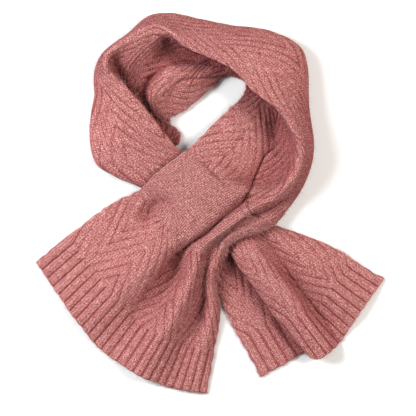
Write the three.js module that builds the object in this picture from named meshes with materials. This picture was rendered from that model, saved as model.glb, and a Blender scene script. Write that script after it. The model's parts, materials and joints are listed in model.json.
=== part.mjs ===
// A knitted pull-through scarf, laid out on a table. It is one strip of cloth, 240 mm wide.
// The strip starts at the ribbed border of the left tail, runs up through a flat slot of plain knit,
// turns round a collar that is folded over along its rim, and comes back through the slot
// as the right tail. Millimetres, +Z up, and the table is z = 0.

import * as THREE from "three";

// Driving sizes of the cloth
const CLOTH_WIDTH = 240;
const TAIL_CLOTH_WIDTH = 200;
const WALL = 3.2;
const RIB_PITCH = 10;
const RIB_HEIGHT = 1.5;
const PANEL_WIDTH = 35;
const FIRST_SPINE = 35;
const RIB_LEAN = THREE.MathUtils.degToRad(25);

// Spacing of the mesh and the gap left between neighbouring pieces
const SEAM = 0.4;
const PLAIN_ROW = 13;
const COLUMN_STEP = RIB_PITCH / 2;
const SECTION_SAMPLES = 160;
const NORMAL_STEP = 0.6;
const SNAP = 2.2;

// Plan positions are pixels of the photograph, and this is their size on the table
const PIXEL = 1.2;
const PLAN_CENTRE = { x: 210, y: 202.9 };

// Height of the middle of a wall that lies on the table
const LYING = WALL / 2;

const YARN = new THREE.MeshStandardMaterial({ color: 0xc07a78, roughness: 0.95, metalness: 0 });

// Names across the strip, from the edge nearest the neck to the outer edge.
// In each table a row is one section across the cloth, an entry is [across, down, height],
// and cloth tells how far across the flat cloth some of the named places lie.
const STRIP_COLUMNS = ["inner", "bank", "crown", "trough", "wall", "rim", "side", "roll", "outer"];

const HEM_LEFT = [
  { inner: [36, 262, LYING], bank: [50, 283, LYING], crown: [78, 323, 7], trough: [100, 349, 1.8],
    wall: [116, 361, 4], rim: [138, 375, 11.5], side: [169, 387, 2], roll: [190, 391, 5],
    outer: [207, 393, LYING], cloth: { rim: 156 } },
  { inner: [68, 236, LYING], bank: [90, 265, 6], crown: [114, 297, 15.5], trough: [136, 321, 2],
    wall: [146, 328, 9.5], rim: [161, 336, 18], side: [186, 347, 2.6], roll: [202, 349, 10],
    outer: [214, 350, LYING], cloth: { rim: 156 } },
];

const TAIL_LEFT = [
  { inner: [100, 212, 2], bank: [118, 239, 9], crown: [141, 274, 21.5], trough: [158, 297, 2.8],
    wall: [166, 301, 12], rim: [179, 305, 25], side: [201, 312, 4], roll: [211, 315, 12],
    outer: [219.8, 316, 3], cloth: { rim: 156 } },
  { inner: [122, 198, 4], bank: [138, 217, 12], crown: [163, 249, 24.5], trough: [179, 266, 4.4],
    wall: [185, 269, 16], rim: [194, 271, 28.5], side: [204, 273, 14], roll: [210, 277, 18],
    outer: [216.8, 282, 10.5], cloth: { rim: 154 } },
];

const SLOT_FRONT = [
  { inner: [137, 192, 10], bank: [154, 212, 16], crown: [177, 238, 25], trough: [186, 248.5, 15],
    wall: [190, 250, 21], rim: [199, 252, 28], side: [210, 250, 18], roll: [219, 252, 22.5],
    outer: [223, 259, 14], cloth: { rim: 152 } },
  { inner: [160, 170, 21], bank: [178, 189, 26], crown: [203, 218, 28], trough: [210.5, 227.5, 20],
    wall: [214, 229.5, 23.5], rim: [219, 233, 28], side: [224, 237, 19.5], roll: [227, 239, 23],
    outer: [232, 243, 20], cloth: { rim: 150 } },
  { inner: [186, 151, 19], bank: [207, 167, 24], crown: [238, 193, 26], trough: [244.5, 199.5, 17.8],
    wall: [250, 203, 21], rim: [256, 206, 28], side: [259, 214, 18.5], roll: [265, 221, 20],
    outer: [271, 227, 14], cloth: { rim: 140 } },
];

const NECK_RIGHT = [
  { inner: [210, 128, 14], bank: [225, 146, 16.5], crown: [241, 166, 14], trough: [257, 181, 4],
    wall: [271, 184, 9], rim: [286, 187, 31], side: [292, 194, 17], roll: [291, 202, 12],
    outer: [286, 209, 3], cloth: { rim: 125 } },
  { inner: [228, 110, 11], bank: [241, 128, 13], crown: [256, 142, 10], trough: [272, 153, 3.5],
    wall: [288, 155, 12], rim: [300, 155, 37], side: [308, 157, 24], roll: [311, 159, 11],
    outer: [308, 161, 2], cloth: { rim: 122 } },
];

const NECK_BACK = [
  { inner: [241, 98, 7], bank: [252, 109, 9.5], crown: [264, 117, 8], trough: [278, 125, 3],
    wall: [287, 121, 20], rim: [288, 123, 41], side: [298, 117, 33], roll: [308, 114, 14],
    outer: [306, 113, 2], cloth: { rim: 130 } },
  { inner: [246, 83, 2.5], bank: [252, 84, 5], crown: [259, 82, 8], trough: [267, 77, 6],
    wall: [271, 74, 22], rim: [254.5, 92, 44], side: [281, 69, 37], roll: [301, 52, 14],
    outer: [299, 52, 2], cloth: { rim: 142 } },
  { inner: [227, 76, 3], bank: [229, 70, 9], crown: [232, 63, 11], trough: [238, 54, 6],
    wall: [243, 50, 22], rim: [231.5, 69, 44], side: [251, 49, 37], roll: [270, 33, 14],
    outer: [269, 34, 2], cloth: { rim: 146 } },
  { inner: [208, 91, 3], bank: [207, 81, 9], crown: [206, 72, 13], trough: [210, 60, 3.5],
    wall: [218, 48, 22], rim: [210.5, 58, 42], side: [219, 41, 35], roll: [229, 27, 13],
    outer: [229, 28, 2], cloth: { rim: 146 } },
];

const NECK_CORNER = [
  { inner: [188, 108, 3], bank: [188, 90, 11], crown: [187, 71, 17], trough: [187, 59, 3.5],
    wall: [191, 44, 21], rim: [188.5, 48, 38], side: [192, 35, 32], roll: [198, 21, 12],
    outer: [197, 22, 2], cloth: { rim: 146 } },
  { inner: [178, 114, 4], bank: [171, 96, 13], crown: [169, 73, 20], trough: [166, 57, 3],
    wall: [166, 42, 15], rim: [169, 33, 36.5], side: [170, 27, 29], roll: [171, 15, 12],
    outer: [171, 17, 2], cloth: { rim: 150 } },
  { inner: [170, 119, 6], bank: [162, 107, 12], crown: [154, 91, 20], trough: [148, 79, 2.8],
    wall: [146, 56, 19], rim: [157, 28.5, 34], side: [153, 23, 26], roll: [149, 18, 11],
    outer: [150, 19, 2], cloth: { rim: 160 } },
  { inner: [171, 125, 4], bank: [157, 115, 9], crown: [148, 102, 15], trough: [134, 83, 2.6],
    wall: [128, 59, 20], rim: [131.5, 38.5, 31], side: [129, 36, 22], roll: [127, 37, 10],
    outer: [129, 39, 2], cloth: { rim: 172 } },
  { inner: [181, 134, 2.5], bank: [160, 121, 4.5], crown: [145, 107, 10], trough: [124, 80, 2.6],
    wall: [112, 63, 13], rim: [107.5, 57, 29], side: [104, 56, 21], roll: [102, 58, 10],
    outer: [104, 60, 2], cloth: { rim: 172 } },
  { inner: [177, 145, 2.5], bank: [154, 128, 3], crown: [139, 111, 6], trough: [121, 87, 3.5],
    wall: [114, 76, 15], rim: [107.5, 70, 29.5], side: [99, 71, 21.5], roll: [96, 73, 10],
    outer: [98, 74, 2], cloth: { rim: 172, side: 206 } },
];

// From here to the slot the sections start at the crown, where the cloth turns in on the table
const NECK_LEFT = [
  { crown: [125, 107, 2.2], trough: [122, 98, 5], wall: [124, 89, 18], rim: [120.5, 83, 31],
    side: [107, 91, 27], roll: [96, 97, 11], outer: [97, 98, 2],
    cloth: { crown: 110, rim: 172, side: 206 } },
  { crown: [137, 127, 2.2], trough: [140, 119, 6], wall: [143, 113, 18], rim: [144.5, 110, 30],
    side: [119, 121, 28], roll: [92, 128, 12], outer: [92, 130, 2],
    cloth: { crown: 110, rim: 172, side: 206 } },
  { crown: [150, 148, 2.6], trough: [156, 141, 6], wall: [161, 136, 14], rim: [163.5, 134.5, 22],
    side: [133, 147, 23], roll: [99, 161, 11], outer: [97, 163, 2],
    cloth: { crown: 110, rim: 172, side: 206 } },
  { crown: [168, 169, 5.6], trough: [175, 162, 6.4], wall: [180, 157, 8.6], rim: [182, 155, 11.5],
    side: [165, 171, 14], roll: [149, 187, 9.5], outer: [146, 190, 6],
    cloth: { crown: 110, rim: 172, side: 206 } },
];
const LEFT_CLOTH_START = 110;

// The right tail, from its inner edge (right) to its outer edge (left). Its middle stands up as a
// pleat: from turn to floor the cloth goes back under the crown and returns along the table.
const TAIL_COLUMNS = [
  "right", "shoulder", "valley", "crown", "rim", "turn", "under", "tuck", "floor", "lap", "left",
];

const TAIL_RIGHT = [
  { right: [270, 224, 5.6], shoulder: [258, 226, 8.5], valley: [249, 229, 9.5], crown: [240, 234, 11],
    rim: [235, 238, 11], turn: [231, 242, 10.2], under: [228, 246, 9], tuck: [225, 250, 7.6],
    floor: [223, 254, 6.4], lap: [221, 258, 5.6], left: [220, 262, 5.6], cloth: { turn: 110 } },
  { right: [292, 231, 4], shoulder: [276, 238, 11], valley: [268, 245, 6.2], crown: [256, 252, 20.5],
    rim: [243, 256, 18.5], turn: [236, 260, 13], under: [240, 259, 8.6], tuck: [246, 256, 5.4],
    floor: [240, 260, 2.4], lap: [228, 271, 2.6], left: [216, 283, 2.2], cloth: { turn: 118 } },
  { right: [337, 249, 3], shoulder: [314, 266, 13], valley: [296, 284, 3], crown: [283, 286, 25.5],
    rim: [264, 287, 22], turn: [258, 291, 14], under: [263, 288, 9], tuck: [270, 283, 5.4],
    floor: [263, 287, 1.8], lap: [245, 299, 2.4], left: [228, 317, LYING], cloth: { turn: 121 } },
  { right: [353, 260, 2.5], shoulder: [332, 288, 11], valley: [315, 309, 2.4], crown: [302, 316, 22.5],
    rim: [287, 320, 19], turn: [282, 324, 13], under: [287, 320, 9], tuck: [294, 314, 5.3],
    floor: [287, 316, 1.8], lap: [263, 326, 2], left: [241, 341, LYING], cloth: { turn: 122 } },
];

const HEM_RIGHT = [
  { right: [384, 279, LYING], shoulder: [360, 313, 6.5], valley: [340, 342, 2], crown: [326, 355, 16.5],
    rim: [316, 359, 15], turn: [308, 354, 11], under: [312, 349, 8.8], tuck: [318, 344, 5.2],
    floor: [311, 348, LYING], lap: [286, 363, 2], left: [261, 377, LYING], cloth: { turn: 122 } },
];

// Turn of the cloth under the slot: a flattened bundle, one ring for each row
const GATHER = [
  { left: [147, 190.2], middle: [165, 173], right: [184, 156], bottom: 3.6, top: 15 },
  { left: [170, 212], middle: [187, 195], right: [206, 177], bottom: 3.5, top: 21 },
  { left: [193, 235], middle: [206, 216], right: [224, 205], bottom: 3.5, top: 14 },
  { left: [214.5, 255.5], middle: [227.3, 234.4], right: [261.5, 218.5], bottom: 3.9, top: 10.5 },
];
const GATHER_SIDES = 16;
const GATHER_SQUARENESS = 0.6;

const SLOT_BACK = {
  nearEdge: { start: [144, 192], end: [189, 154] },
  farEdge: { start: [219, 257], end: [267, 224] },
  rows: 6,
  columns: 8,
};

function onTable([across, down, height]) {
  return new THREE.Vector3(
    (across - PLAN_CENTRE.x) * PIXEL,
    (PLAN_CENTRE.y - down) * PIXEL,
    height,
  );
}

function smoothCurve(points) {
  return new THREE.CatmullRomCurve3(points, false, "centripetal");
}

// Points along one section, at even steps across the flat cloth. The places named in row.cloth
// are where they should be, and the cloth is even between them.
function sectionPoints(row, allColumns, width) {
  const columns = allColumns.filter((name) => row[name]);
  const curve = smoothCurve(columns.map((name) => onTable(row[name])));
  curve.arcLengthDivisions = SECTION_SAMPLES * (columns.length - 1);
  const total = curve.getLength();
  const lengths = curve.getLengths();
  const arcOf = (name) => lengths[columns.indexOf(name) * SECTION_SAMPLES] / total;
  const knots = Object.entries(row.cloth).map(([name, x]) => ({ x, arc: arcOf(name) }));
  if (knots[0].arc > 0) knots.unshift({ x: 0, arc: 0 });
  knots.push({ x: width, arc: 1 });
  const points = [];
  for (let i = 0; i <= SECTION_SAMPLES; i += 1) {
    const x = Math.max((width * i) / SECTION_SAMPLES, knots[0].x);
    const k = Math.max(1, knots.findIndex((knot) => knot.x >= x));
    const share = (x - knots[k - 1].x) / (knots[k].x - knots[k - 1].x);
    points.push(curve.getPointAt(THREE.MathUtils.lerp(knots[k - 1].arc, knots[k].arc, share)));
  }
  return points;
}

// A strip of cloth through its sections. point(x, y) takes places on the flat cloth.
function makeStrip(rows, columns, width) {
  const sections = rows.map((row) => sectionPoints(row, columns, width));
  const stations = [0];
  for (let i = 1; i < sections.length; i += 1) {
    const steps = sections[i].map((point, k) => point.distanceTo(sections[i - 1][k]));
    const mean = steps.reduce((sum, step) => sum + step, 0) / steps.length;
    stations.push(stations[i - 1] + mean);
  }
  const threads = sections[0].map((_, k) => smoothCurve(sections.map((points) => points[k])));

  function stationPlace(y) {
    let i = 1;
    while (i < stations.length - 1 && stations[i] < y) i += 1;
    const share = (y - stations[i - 1]) / (stations[i] - stations[i - 1]);
    return THREE.MathUtils.clamp((i - 1 + share) / (stations.length - 1), 0, 1);
  }

  function point(x, y) {
    const place = stationPlace(y);
    const across = THREE.MathUtils.clamp(x / width, 0, 1) * SECTION_SAMPLES;
    const k = Math.min(Math.floor(across), SECTION_SAMPLES - 1);
    const low = threads[k].getPoint(place);
    return low.lerp(threads[k + 1].getPoint(place), across - k);
  }

  function normal(x, y) {
    const x0 = Math.max(x - NORMAL_STEP, 0);
    const x1 = Math.min(x + NORMAL_STEP, width);
    const y0 = Math.max(y - NORMAL_STEP, 0);
    const y1 = Math.min(y + NORMAL_STEP, stations.at(-1));
    const alongX = point(x1, y).sub(point(x0, y));
    const alongY = point(x, y1).sub(point(x, y0));
    return alongX.cross(alongY).normalize();
  }

  return { point, normal, stations };
}

// Distance across the cloth from the nearest spine, from which the slanting ribs fan out
function fromSpine(x) {
  const period = 2 * PANEL_WIDTH;
  const turned = THREE.MathUtils.euclideanModulo(x - FIRST_SPINE, period);
  return Math.min(turned, period - turned);
}

function ribRelief(phase) {
  return RIB_HEIGHT * (0.5 + 0.5 * Math.cos(2 * Math.PI * phase));
}

// Three ways to knit a stretch. Each gives the relief and the places of the outer side's points.
const PATTERNS = {
  // Straight ribs along the strip
  border: (from, to, across) => ({
    relief: (x) => ribRelief(fromSpine(x) / RIB_PITCH),
    columns: columnsAcross(across),
    rows: () => evenPlaces(from, to, PLAIN_ROW),
  }),
  // Ribs that fan out to both sides of each spine, or meet at it where direction is -1
  chevron: (from, to, across, direction) => {
    const rate = Math.tan(RIB_LEAN) / RIB_PITCH;
    const wholeRibs = Math.max(1, Math.round((to - from) * rate));
    const perLength = wholeRibs / (to - from);
    const start = (x) => (direction * fromSpine(x)) / RIB_PITCH;
    const reach = Math.ceil(PANEL_WIDTH / RIB_PITCH);
    return {
      relief: (x, y) => ribRelief((y - from) * perLength - start(x)),
      columns: columnsAcross(across),
      rows: (x) => {
        const places = [];
        for (let n = -2 * reach; n <= 2 * (wholeRibs + reach); n += 1) {
          places.push(from + (n / 2 + start(x)) / perLength);
        }
        return places;
      },
    };
  },
  // Flat plain knit
  plain: (from, to, across) => ({
    relief: () => RIB_HEIGHT / 2,
    columns: columnsAcross(across),
    rows: () => evenPlaces(from, to, PLAIN_ROW),
  }),
};

function evenPlaces(from, to, spacing) {
  const count = Math.max(1, Math.round((to - from) / spacing));
  return Array.from({ length: count + 1 }, (_, i) => from + ((to - from) * i) / count);
}

// Lines along the cloth, one of them on every spine
function columnsAcross({ start, end }) {
  const columns = [start];
  for (let x = FIRST_SPINE % COLUMN_STEP; x < end - 1; x += COLUMN_STEP) {
    if (x > start + 1) columns.push(x);
  }
  columns.push(end);
  return columns;
}

// One side of the wall. Points that fall past an end of the stretch are drawn back to it,
// and what has no area left is dropped.
function clothSide(columns, rowsAt, from, to, placeVertex, facesUp) {
  const lists = columns.map((x) => rowsAt(x).map((y) => {
    if (y < from + SNAP) return from;
    if (y > to - SNAP) return to;
    return y;
  }));
  const ids = lists.map((list, j) => {
    const seen = new Map();
    return list.map((y) => {
      if (!seen.has(y)) seen.set(y, placeVertex(columns[j], y));
      return seen.get(y);
    });
  });
  const faces = [];
  const addFace = (a, b, c) => {
    if (a === b || b === c || a === c) return;
    faces.push(facesUp ? [a, b, c] : [a, c, b]);
  };
  for (let j = 0; j < columns.length - 1; j += 1) {
    for (let n = 0; n < lists[j].length - 1; n += 1) {
      const [a, b, c, d] = [ids[j][n], ids[j + 1][n], ids[j + 1][n + 1], ids[j][n + 1]];
      addFace(a, b, c);
      addFace(a, c, d);
    }
  }
  const unique = (list) => list.filter((id, i) => i === 0 || id !== list[i - 1]);
  const edges = {
    start: ids.map((list) => list[0]),
    end: ids.map((list) => list.at(-1)),
    low: unique(ids[0]),
    high: unique(ids.at(-1)),
  };
  const places = {
    start: columns,
    end: columns,
    low: [...new Set(lists[0])],
    high: [...new Set(lists.at(-1))],
  };
  return { faces, edges, places };
}

// The strip of triangles that closes the wall between one edge of its two sides
function closeEdge(faces, top, bottom, name, turned) {
  const upper = top.edges[name];
  const lower = bottom.edges[name];
  let i = 0;
  let k = 0;
  const add = (a, b, c) => faces.push(turned ? [a, c, b] : [a, b, c]);
  while (i < upper.length - 1 || k < lower.length - 1) {
    const upperNext = i < upper.length - 1 ? top.places[name][i + 1] : Infinity;
    const lowerNext = k < lower.length - 1 ? bottom.places[name][k + 1] : Infinity;
    if (upperNext <= lowerNext) {
      add(upper[i], lower[k], upper[i + 1]);
      i += 1;
    } else {
      add(upper[i], lower[k], lower[k + 1]);
      k += 1;
    }
  }
}

function solidFrom(name, vertices, faces) {
  const geometry = new THREE.BufferGeometry();
  geometry.setAttribute("position", new THREE.Float32BufferAttribute(vertices.flat(), 3));
  geometry.setIndex(faces.flat());
  const mesh = new THREE.Mesh(geometry, YARN.clone());
  mesh.name = name;
  return mesh;
}

// A stretch of the strip as a closed wall, with its ribs raised on the outer side only
function stretch(name, strip, from, to, pattern) {
  const vertices = [];
  const place = (x, y, offset) => {
    const spot = strip.point(x, y).addScaledVector(strip.normal(x, y), offset);
    vertices.push([spot.x, spot.y, Math.max(spot.z, 0)]);
    return vertices.length - 1;
  };
  const outerSide = (x, y) => place(x, y, WALL / 2 + pattern.relief(x, y) - RIB_HEIGHT / 2);
  const innerSide = (x, y) => place(x, y, -WALL / 2);
  const plainRows = () => evenPlaces(from, to, PLAIN_ROW);
  const top = clothSide(pattern.columns, pattern.rows, from, to, outerSide, true);
  const bottom = clothSide(pattern.columns, plainRows, from, to, innerSide, false);
  const faces = [...top.faces, ...bottom.faces];
  closeEdge(faces, top, bottom, "start", false);
  closeEdge(faces, top, bottom, "end", true);
  closeEdge(faces, top, bottom, "low", true);
  closeEdge(faces, top, bottom, "high", false);
  return solidFrom(name, vertices, faces);
}

// The hidden layers of cloth inside the slot, as one rounded bundle
function gatheredCloth(name) {
  const vertices = [];
  const faces = [];
  const squared = (value) => Math.sign(value) * Math.abs(value) ** GATHER_SQUARENESS;
  const ring = (row, k) => {
    const bend = smoothCurve([row.left, row.middle, row.right].map((spot) => onTable([...spot, 0])));
    const turn = (2 * Math.PI * k) / GATHER_SIDES;
    const spot = bend.getPoint(0.5 + squared(Math.cos(turn)) / 2);
    const middle = (row.top + row.bottom) / 2;
    return [spot.x, spot.y, middle + (squared(Math.sin(turn)) * (row.top - row.bottom)) / 2];
  };
  for (const row of GATHER) {
    for (let k = 0; k < GATHER_SIDES; k += 1) vertices.push(ring(row, k));
  }
  for (let i = 0; i < GATHER.length - 1; i += 1) {
    for (let k = 0; k < GATHER_SIDES; k += 1) {
      const a = i * GATHER_SIDES + k;
      const b = i * GATHER_SIDES + ((k + 1) % GATHER_SIDES);
      faces.push([a, b, b + GATHER_SIDES], [a, b + GATHER_SIDES, a + GATHER_SIDES]);
    }
  }
  const lastRing = (GATHER.length - 1) * GATHER_SIDES;
  for (let k = 1; k < GATHER_SIDES - 1; k += 1) {
    faces.push([0, k + 1, k], [lastRing, lastRing + k, lastRing + k + 1]);
  }
  return solidFrom(name, vertices, faces);
}

// The back layer of the slot: plain knit that lies flat on the table
function slotBack(name) {
  const { nearEdge, farEdge, rows, columns } = SLOT_BACK;
  const vertices = [];
  const faces = [];
  const spot = (u, v) => {
    const near = onTable([...nearEdge.start, 0]).lerp(onTable([...nearEdge.end, 0]), v);
    const far = onTable([...farEdge.start, 0]).lerp(onTable([...farEdge.end, 0]), v);
    return near.lerp(far, u);
  };
  const index = (level, i, j) => level * (rows + 1) * (columns + 1) + i * (columns + 1) + j;
  for (const height of [0, WALL]) {
    for (let i = 0; i <= rows; i += 1) {
      for (let j = 0; j <= columns; j += 1) {
        const { x, y } = spot(j / columns, i / rows);
        vertices.push([x, y, height]);
      }
    }
  }
  for (let i = 0; i < rows; i += 1) {
    for (let j = 0; j < columns; j += 1) {
      const low = [index(0, i, j), index(0, i, j + 1), index(0, i + 1, j + 1), index(0, i + 1, j)];
      const high = low.map((id) => id + (rows + 1) * (columns + 1));
      faces.push([low[0], low[2], low[1]], [low[0], low[3], low[2]]);
      faces.push([high[0], high[1], high[2]], [high[0], high[2], high[3]]);
    }
  }
  const border = [];
  for (let j = 0; j < columns; j += 1) border.push([0, j]);
  for (let i = 0; i < rows; i += 1) border.push([i, columns]);
  for (let j = columns; j > 0; j -= 1) border.push([rows, j]);
  for (let i = rows; i > 0; i -= 1) border.push([i, 0]);
  border.forEach(([i, j], n) => {
    const [nextI, nextJ] = border[(n + 1) % border.length];
    const [a, b] = [index(0, i, j), index(0, nextI, nextJ)];
    const [c, d] = [index(1, nextI, nextJ), index(1, i, j)];
    faces.push([a, b, c], [a, c, d]);
  });
  return solidFrom(name, vertices, faces);
}

function buildScarf() {
  const group = new THREE.Group();

  const collarRows = [
    ...HEM_LEFT, ...TAIL_LEFT, ...SLOT_FRONT, ...NECK_RIGHT, ...NECK_BACK, ...NECK_CORNER,
    ...NECK_LEFT,
  ];
  const strip = makeStrip(collarRows, STRIP_COLUMNS, CLOTH_WIDTH);
  const ends = {};
  let rowCount = 0;
  const countTo = (key, rows) => {
    rowCount += rows;
    ends[key] = strip.stations[rowCount - 1];
  };
  countTo("hem", HEM_LEFT.length);
  countTo("slotStart", TAIL_LEFT.length + 1);
  countTo("slotEnd", SLOT_FRONT.length - 1);
  countTo("right", NECK_RIGHT.length);
  countTo("back", NECK_BACK.length);
  countTo("corner", NECK_CORNER.length);
  countTo("left", NECK_LEFT.length);

  const gap = SEAM / 2;
  const whole = { start: 0, end: CLOTH_WIDTH };
  const turnedIn = { start: LEFT_CLOTH_START, end: CLOTH_WIDTH };
  const stretches = [
    { name: "hem_left", from: 0, to: ends.hem - gap, knit: "border" },
    { name: "tail_left", from: ends.hem + gap, to: ends.slotStart - gap, knit: "chevron", way: 1 },
    { name: "slot_front", from: ends.slotStart + gap, to: ends.slotEnd - gap, knit: "plain" },
    { name: "neck_right", from: ends.slotEnd + gap, to: ends.right - gap, knit: "chevron", way: -1 },
    { name: "neck_back", from: ends.right + gap, to: ends.back - gap, knit: "chevron", way: -1 },
    { name: "neck_corner", from: ends.back + gap, to: ends.corner - gap, knit: "chevron", way: -1 },
    { name: "neck_left", from: ends.corner + gap, to: ends.left, knit: "chevron", way: -1 },
  ];
  for (const { name, from, to, knit, way } of stretches) {
    const across = name === "neck_left" ? turnedIn : whole;
    group.add(stretch(name, strip, from, to, PATTERNS[knit](from, to, across, way)));
  }

  const tail = makeStrip([...TAIL_RIGHT, ...HEM_RIGHT], TAIL_COLUMNS, TAIL_CLOTH_WIDTH);
  const hemStart = tail.stations[TAIL_RIGHT.length - 1];
  const hemEnd = tail.stations.at(-1);
  const tailAcross = { start: 0, end: TAIL_CLOTH_WIDTH };
  const tailPattern = PATTERNS.chevron(0, hemStart - gap, tailAcross, -1);
  const tailBorder = PATTERNS.border(hemStart + gap, hemEnd, tailAcross);
  group.add(stretch("tail_right", tail, 0, hemStart - gap, tailPattern));
  group.add(stretch("hem_right", tail, hemStart + gap, hemEnd, tailBorder));

  group.add(gatheredCloth("tail_gather"));
  group.add(slotBack("slot_back"));
  return group;
}

export default buildScarf();
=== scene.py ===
import json
import math

import bmesh
import bpy
import numpy as np
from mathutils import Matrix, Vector

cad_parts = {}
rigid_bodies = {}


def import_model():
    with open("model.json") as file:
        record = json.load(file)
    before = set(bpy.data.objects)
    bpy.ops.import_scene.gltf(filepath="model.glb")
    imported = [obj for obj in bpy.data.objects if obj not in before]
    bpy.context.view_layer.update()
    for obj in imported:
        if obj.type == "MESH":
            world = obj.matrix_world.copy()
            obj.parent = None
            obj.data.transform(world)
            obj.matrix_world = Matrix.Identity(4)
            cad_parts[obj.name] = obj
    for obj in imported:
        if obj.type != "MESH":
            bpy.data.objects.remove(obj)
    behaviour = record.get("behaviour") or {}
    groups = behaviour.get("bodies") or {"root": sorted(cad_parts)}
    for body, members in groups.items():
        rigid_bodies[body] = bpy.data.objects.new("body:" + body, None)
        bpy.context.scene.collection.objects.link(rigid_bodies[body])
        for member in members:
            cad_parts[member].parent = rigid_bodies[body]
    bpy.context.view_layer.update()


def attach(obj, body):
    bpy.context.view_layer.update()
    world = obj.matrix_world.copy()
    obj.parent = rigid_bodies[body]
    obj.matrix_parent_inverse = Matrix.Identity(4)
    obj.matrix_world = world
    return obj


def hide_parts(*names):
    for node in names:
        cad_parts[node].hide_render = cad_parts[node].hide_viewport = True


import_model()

MM = 0.001

# Driving sizes of the cloth, in millimetres
CLOTH_WIDTH = 240
TAIL_CLOTH_WIDTH = 200
LEFT_CLOTH_START = 110
WALL = 3.2
RIB_PITCH = 10
BORDER_RIB = 1.7
SLANTING_RIB = 1.4
PANEL_WIDTH = 35
FIRST_SPINE = 35
RIB_LEAN = math.radians(25)
SEAM = 0.1
GRID = 1.15
SECTION_SAMPLES = 160

# A knitted stitch, and how far the two legs of its V rise
WALE = 3.3
COURSE = 2.7
V_RISE = 1.5

# Half the width of the groove between two ribs
GROOVE_WIDTH = 1.4

# How far the free edges wander, over what length, how far in that is felt, and how far the ribs
# stand out along the borders
EDGE_WANDER = 1.0
EDGE_WAVE = 13
EDGE_REACH = 5
SCALLOP = 0.9

# Extra points across the cloth, this far in from a free edge, and the least share of the wall there
EDGE_POINTS = (0.2, 0.6)
THINNEST = 0.1

# Slow swelling of the whole outer side
SWELL = 0.3
SWELL_WAVE = 21

# Loose mohair fibres: how many to a square centimetre, and along a centimetre of a free edge
FUZZ_DENSITY = 14
FUZZ_EDGE = 26
FUZZ_LENGTH = 5.0
FUZZ_WIDTH = 0.16
# The shortest fibre as a share of the longest, how much fibres lean and bend, how low they may
# hang, and each ribbon as (share of its length, share of its width)
FUZZ_SHORTEST = 0.25
FUZZ_LEAN = 0.8
FUZZ_BEND = 0.5
FUZZ_LOWEST = 0.4
FUZZ_RIBBON = ((0, 1), (0.5, 0.9), (1, 0.3))
FUZZ_EDGE_WAY = 4

# Cell of the height map that tells how open each place of the cloth is to the sky, which the yarn
# turns into painted shade in the hollows
SKY_CELL = 2.0
SKY_TURNS = 16
SKY_REACHES = (2.5, 4.5, 7, 10, 14, 20, 28, 40)

# Plan positions are pixels of the photograph, and this is their size on the table
PIXEL = 1.2
PLAN_CENTRE = (210, 202.9)
LYING = WALL / 2

# Names across the strip, from the edge nearest the neck to the outer edge.
# In each table a row is one section across the cloth, an entry is (across, down, height),
# and cloth tells how far across the flat cloth some of the named places lie.
STRIP_COLUMNS = ["inner", "bank", "crown", "trough", "wall", "rim", "side", "roll", "outer"]

HEM_LEFT = [
    dict(inner=(36, 262, LYING), bank=(50, 283, LYING), crown=(78, 323, 7), trough=(100, 349, 1.8),
         wall=(116, 361, 4), rim=(138, 375, 11.5), side=(169, 387, 2), roll=(190, 391, 5),
         outer=(207, 393, LYING), cloth=dict(rim=156)),
    dict(inner=(68, 236, LYING), bank=(90, 265, 6), crown=(114, 297, 15.5), trough=(136, 321, 2),
         wall=(146, 328, 9.5), rim=(161, 336, 18), side=(186, 347, 2.6), roll=(202, 349, 10),
         outer=(214, 350, LYING), cloth=dict(rim=156)),
]

TAIL_LEFT = [
    dict(inner=(100, 212, 2), bank=(118, 239, 9), crown=(141, 274, 21.5), trough=(158, 297, 2.8),
         wall=(166, 301, 12), rim=(179, 305, 25), side=(201, 312, 4), roll=(211, 315, 12),
         outer=(219.8, 316, 3), cloth=dict(rim=156)),
    dict(inner=(122, 198, 4), bank=(138, 217, 12), crown=(163, 249, 24.5), trough=(179, 266, 4.4),
         wall=(185, 269, 16), rim=(194, 271, 28.5), side=(204, 273, 14), roll=(210, 277, 18),
         outer=(216.8, 282, 10.5), cloth=dict(rim=154)),
]

SLOT_FRONT = [
    dict(inner=(137, 192, 10), bank=(154, 212, 16), crown=(177, 238, 25), trough=(186, 248.5, 15),
         wall=(190, 250, 21), rim=(199, 252, 28), side=(210, 250, 18), roll=(219, 252, 22.5),
         outer=(223, 259, 14), cloth=dict(rim=152)),
    dict(inner=(160, 170, 21), bank=(178, 189, 26), crown=(203, 218, 28), trough=(210.5, 227.5, 20),
         wall=(214, 229.5, 23.5), rim=(219, 233, 28), side=(224, 237, 19.5), roll=(227, 239, 23),
         outer=(232, 243, 20), cloth=dict(rim=150)),
    dict(inner=(186, 151, 19), bank=(207, 167, 24), crown=(238, 193, 26), trough=(244.5, 199.5, 17.8),
         wall=(250, 203, 21), rim=(256, 206, 28), side=(259, 214, 18.5), roll=(265, 221, 20),
         outer=(271, 227, 14), cloth=dict(rim=140)),
]

NECK_RIGHT = [
    dict(inner=(210, 128, 14), bank=(225, 146, 16.5), crown=(241, 166, 14), trough=(257, 181, 4),
         wall=(271, 184, 9), rim=(286, 187, 31), side=(292, 194, 17), roll=(291, 202, 12),
         outer=(286, 209, 3), cloth=dict(rim=125)),
    dict(inner=(228, 110, 11), bank=(241, 128, 13), crown=(256, 142, 10), trough=(272, 153, 3.5),
         wall=(288, 155, 12), rim=(300, 155, 37), side=(308, 157, 24), roll=(311, 159, 11),
         outer=(308, 161, 2), cloth=dict(rim=122)),
]

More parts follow.
